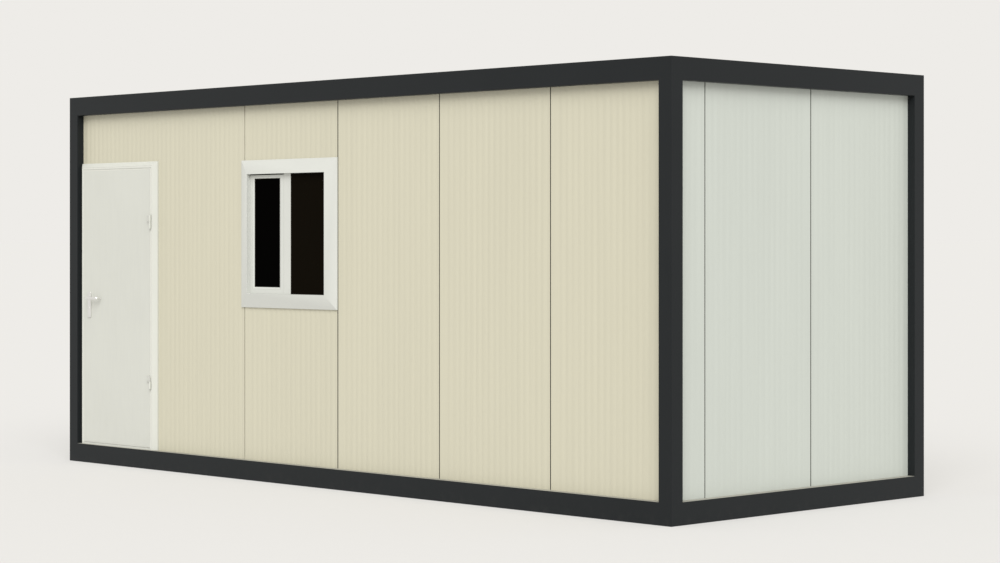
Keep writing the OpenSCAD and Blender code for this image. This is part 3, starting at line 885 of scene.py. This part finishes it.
form = bmesh.new()
outline = rounded_outline(low.x, low.z, high.x, high.z, PLATE_CORNER)
for near, far in ((low.y, leaf_front), (leaf_back, high.y)):
    add_prism(form, outline, near, far, drawn_inward)
ease(form, PLATE_ROUND)
half_w, drop, corner = KEYWAY
for face, outward in ((low.y, -1), (high.y, 1)):
    lock = Vector((spindle.x, face, spindle.z - CYLINDER_DROP))
    add_turned(form, lock, (0, outward, 0), CYLINDER, 32)
    add_prism(form, rounded_outline(lock.x - half_w, lock.z - drop, lock.x + half_w, lock.z, corner),
              face - 0.001 * outward, face + 0.002 * outward, drawn_inward)
    for z in (low.z + PLATE_SCREW_ENDS[0], high.z - PLATE_SCREW_ENDS[1]):
        add_turned(form, Vector((spindle.x, face, z)), (0, outward, 0), PLATE_SCREW, 18)
plates = piece("handle_plates_pressed", form, aluminium, "handle_metal", "door", "handle_plates")
carve(plates, bore_cutter(bore_foot, (0, 1, 0), SPINDLE_R + 0.0003, BORE_LENGTH))


def add_bar(form, stations):
    """Adds a bar through stations of (centre, heading, half thickness, half height)."""
    steps, rings = 20, []
    for centre, heading, thick, tall in stations:
        side = heading.cross(Vector((0, 0, 1)))
        turns = [2 * math.pi * k / steps for k in range(steps)]
        rings.append([form.verts.new(
            centre + thick * math.cos(t) * side + tall * math.sin(t) * Vector((0, 0, 1)))
            for t in turns])
    add_tube(form, rings)


def add_grip(form, face, outward):
    """A lever on one side of the leaf, from inside the plate to its turned-back end."""
    thick, tall = GRIP_HALF
    neck = SPINDLE_R - 0.0004

    def at(x, out, ahead, ahead_out, half, high):
        centre = Vector((spindle.x + x, face + outward * out, spindle.z))
        return centre, Vector((ahead, outward * ahead_out, 0)).normalized(), half, high

    stations = [at(0, -0.004, 0, 1, neck, neck), at(0, GRIP_STAND - BEND_R, 0, 1, neck, neck)]
    for k in range(1, 7):
        t = k / 6 * math.pi / 2
        share = k / 6
        stations.append(at(BEND_R * (1 - math.cos(t)),
                           GRIP_STAND - BEND_R + BEND_R * math.sin(t), math.sin(t), math.cos(t),
                           neck + share * (thick - neck), neck + share * (tall - neck)))
    end = GRIP_L - RETURN_INSET
    for share in (0.3, 0.6, 0.9):
        stations.append(at(share * (end - RETURN_R) + 0.004, GRIP_STAND, 1, 0, thick, tall))
    for k in range(7):
        t = k / 6 * math.pi / 2
        stations.append(at(end - RETURN_R + RETURN_R * math.sin(t),
                           GRIP_STAND - RETURN_R + RETURN_R * math.cos(t), math.cos(t),
                           -math.sin(t), thick, tall - RETURN_TAPER * k / 6))
    for out, share in ((RETURN_GAP + 0.002, 1), (RETURN_GAP + 0.0006, 0.88), (RETURN_GAP, 0.6)):
        stations.append(at(end, out, 0, -1, thick * share, (tall - RETURN_TAPER) * share))
    add_bar(form, stations)


form = bmesh.new()
add_grip(form, leaf_front, -1)
add_grip(form, leaf_back, 1)
add_turned(form, Vector((spindle.x, leaf_front - 0.002, spindle.z)), (0, 1, 0),
           [(0.0055, 0), (0.0055, leaf_back - leaf_front + 0.004)], 4)
piece("door_lever_bars", form, aluminium, "handle_metal", "lever", "door_lever")

# ---- Ceiling and roof ----
# A white faced ceiling board lies on the inner edge of the walls. Galvanised joists above it
# carry one ribbed steel roof sheet, screwed through the crests of its ribs and sealed to the
# beams that stand round it.

SHEET_T = 0.0012
RIB_H = 0.027
ROOF_RIB_PITCH = 0.200
RIB_FOOT = 0.080
RIB_TOP = 0.040
STIFFENER = (0.009, 0.004, 0.0015)
JOISTS = 9
JOIST_W = 0.040
PRESS_ROUND = 0.0025
# turned profiles of a roof screw, from the sheet up: rubber washer, flange and hexagon head
SCREW_WASHER = ((0.0095, -0.0002), (0.0095, 0.0012), (0.0075, 0.0026))
SCREW_FLANGE = ((0.0062, 0.0024), (0.0062, 0.0034), (0.0046, 0.0038))
SCREW_HEAD = ((0.0046, 0.0036), (0.0046, 0.0080), (0.0038, 0.0086))
SEAL_W = 0.007
SEAL_BULGE = 0.0025
CEILING_WHITE = (0.74, 0.74, 0.71)
CEILING_SEAM = (0.25, 0.25, 0.24)
ZINC = (0.52, 0.535, 0.54)
ROOF_GREY = (0.36, 0.375, 0.375)
MASTIC = (0.30, 0.30, 0.29)


def faced_board(place):
    joint = seam(place.part("X") + 10 * BOARD_LENGTH, BOARD_LENGTH, BOARD_SEAM)
    stipple = place.noise(260, 2)
    white = place.noise(2, 2).colours(CEILING_WHITE, shade(CEILING_WHITE, 0.96))
    return {
        "Base Color": (0.5 * joint).colours(white, CEILING_SEAM),
        "Roughness": 0.55 + 0.15 * stipple,
        "relief": 0.0001 * stipple - 0.0008 * joint,
    }


def galvanised(colour, spangle):
    """Zinc coating with its crystals, and the dull bloom and dust that weather leaves."""
    def look(place):
        crystal = place.node("TexVoronoi", {"Vector": place, "Scale": spangle}, "Color").part("X")
        bloom = place.noise(1.6, 5).between(0.35, 0.75)
        dust = facing_up(place) * place.noise(5, 5).between(0.3, 0.8)
        zinc = crystal.colours(shade(colour, 0.86), shade(colour, 1.08))
        return {
            "Base Color": (0.35 * dust).colours(
                (0.4 * bloom).colours(zinc, shade(colour, 0.8)), DUST),
            "Metallic": 0.5 - 0.3 * bloom - 0.2 * dust,
            "Roughness": 0.52 + 0.1 * crystal + 0.18 * bloom,
            "relief": 0.00002 * place.noise(350, 1),
        }
    return look


def mastic_look(place):
    return {
        "Base Color": place.noise(30, 3).colours(MASTIC, shade(MASTIC, 0.8)),
        "Roughness": 0.5 + 0.2 * place.noise(25, 3),
        "relief": 0.0008 * place.noise(60, 2),
    }


recoat("ceiling_board", coat("white faced board", faced_board))
recoat("roof_joists", coat("galvanised steel", galvanised(ZINC, 120)))
weathered_zinc = coat("weathered roof sheet", galvanised(ROOF_GREY, 60))

low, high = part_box("roof_sheet")
ribs = int((high.y - low.y - RIB_FOOT) / ROOF_RIB_PITCH)
rib_lines = [(i - (ribs - 1) / 2) * ROOF_RIB_PITCH for i in range(ribs)]
crest = [(low.y, 0.0)]
for y in rib_lines:
    crest += [(y - RIB_FOOT / 2, 0), (y - RIB_TOP / 2, RIB_H), (y + RIB_TOP / 2, RIB_H),
              (y + RIB_FOOT / 2, 0)]
    if y < rib_lines[-1]:
        pan = y + ROOF_RIB_PITCH / 2
        wide, flat, lift = STIFFENER
        crest += [(pan - wide, 0), (pan - flat, lift), (pan + flat, lift), (pan + wide, 0)]
crest += [(high.y, 0.0)]
outline = [(y, low.z + SHEET_T + z) for y, z in crest]
outline += [(y, low.z + z) for y, z in reversed(crest)]
form = bmesh.new()
add_prism(form, outline, low.x, high.x, drawn_along)
ease(form, PRESS_ROUND, steps=2, longer=1.0)
piece("roof_sheet_pressed", form, weathered_zinc, "roof_sheet", "cabin", "roof_sheet")

joist_low, joist_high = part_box("roof_joists")
joist_pitch = (joist_high.x - joist_low.x - JOIST_W) / (JOISTS - 1)
form = bmesh.new()
for i in range(JOISTS):
    for y in rib_lines:
        foot = Vector((joist_low.x + JOIST_W / 2 + i * joist_pitch, y, low.z + SHEET_T + RIB_H))
        for profile, steps in ((SCREW_WASHER, 16), (SCREW_FLANGE, 16), (SCREW_HEAD, 6)):
            add_turned(form, foot, (0, 0, 1), profile, steps)
piece("roof_screws", form, stainless, "roof_sheet", "cabin")

form = bmesh.new()
beam_y, beam_x = high.y + DROP_GAP, high.x + DROP_GAP
for sign in (-1, 1):
    for edge, end, put in ((beam_y, beam_x, drawn_along), (beam_x, beam_y, drawn_inward)):
        add_prism(form, [(sign * edge, low.z), (sign * (edge - SEAL_W), low.z + SHEET_T),
                         (sign * (edge - SEAL_W * 0.6), low.z + SHEET_T + SEAL_BULGE),
                         (sign * edge, low.z + SHEET_T + SEAL_W)], -end, end, put)
piece("roof_mastic", form, coat("grey mastic", mastic_look), "roof_sheet", "cabin")

# ---- Studio ----
# A plain pale floor under an even pale sky, and one broad soft light from high in front of the
# door wall and the right gable.

SKY = (0.855, 0.838, 0.807)
FLOOR = (0.374, 0.371, 0.364)
FLOOR_GLOW = 0.4
FLOOR_SIZE = 1500
TO_LIGHT = (0.55, -0.55, 0.63)
LIGHT_POWER = 2.6
LIGHT_SPREAD = 42

form = bmesh.new()
bmesh.ops.create_grid(form, x_segments=1, y_segments=1, size=FLOOR_SIZE)
mesh = bpy.data.meshes.new("studio_floor")
form.to_mesh(mesh)
form.free()
floor = bpy.data.objects.new("studio_floor", mesh)
bpy.context.scene.collection.objects.link(floor)
mesh.materials.append(coat(
    "pale floor", lambda place: {"Base Color": FLOOR, "Roughness": 1.0, "relief": 0.0},
    **{"Specular IOR Level": 0.0, "Emission Color": SKY, "Emission Strength": FLOOR_GLOW}))

sky = bpy.data.worlds.new("pale sky")
sky.use_nodes = True
sky.node_tree.nodes["Background"].inputs["Color"].default_value = (*SKY, 1)
bpy.context.scene.world = sky

lamp = bpy.data.lights.new("soft light", "SUN")
lamp.energy, lamp.angle = LIGHT_POWER, math.radians(LIGHT_SPREAD)
light = bpy.data.objects.new("soft light", lamp)
light.rotation_euler = Vector(TO_LIGHT).to_track_quat("Z", "Y").to_euler()
bpy.context.scene.collection.objects.link(light)

# ---- Camera ----
# It stands at eye height off the front right corner, level, with a long lens.

lens = bpy.data.cameras.new("camera")
lens.lens, lens.sensor_width = 89.025, 36.0
lens.shift_x, lens.shift_y = -0.0171, -0.0420
lens.clip_end = 4000
camera = bpy.data.objects.new("camera", lens)
camera.location = (12.450, -11.796, 1.6463)
camera.rotation_euler = (math.radians(90), 0, math.radians(45.338))
bpy.context.scene.collection.objects.link(camera)
bpy.context.scene.camera = camera
bpy.context.scene.view_settings.view_transform = "Standard"
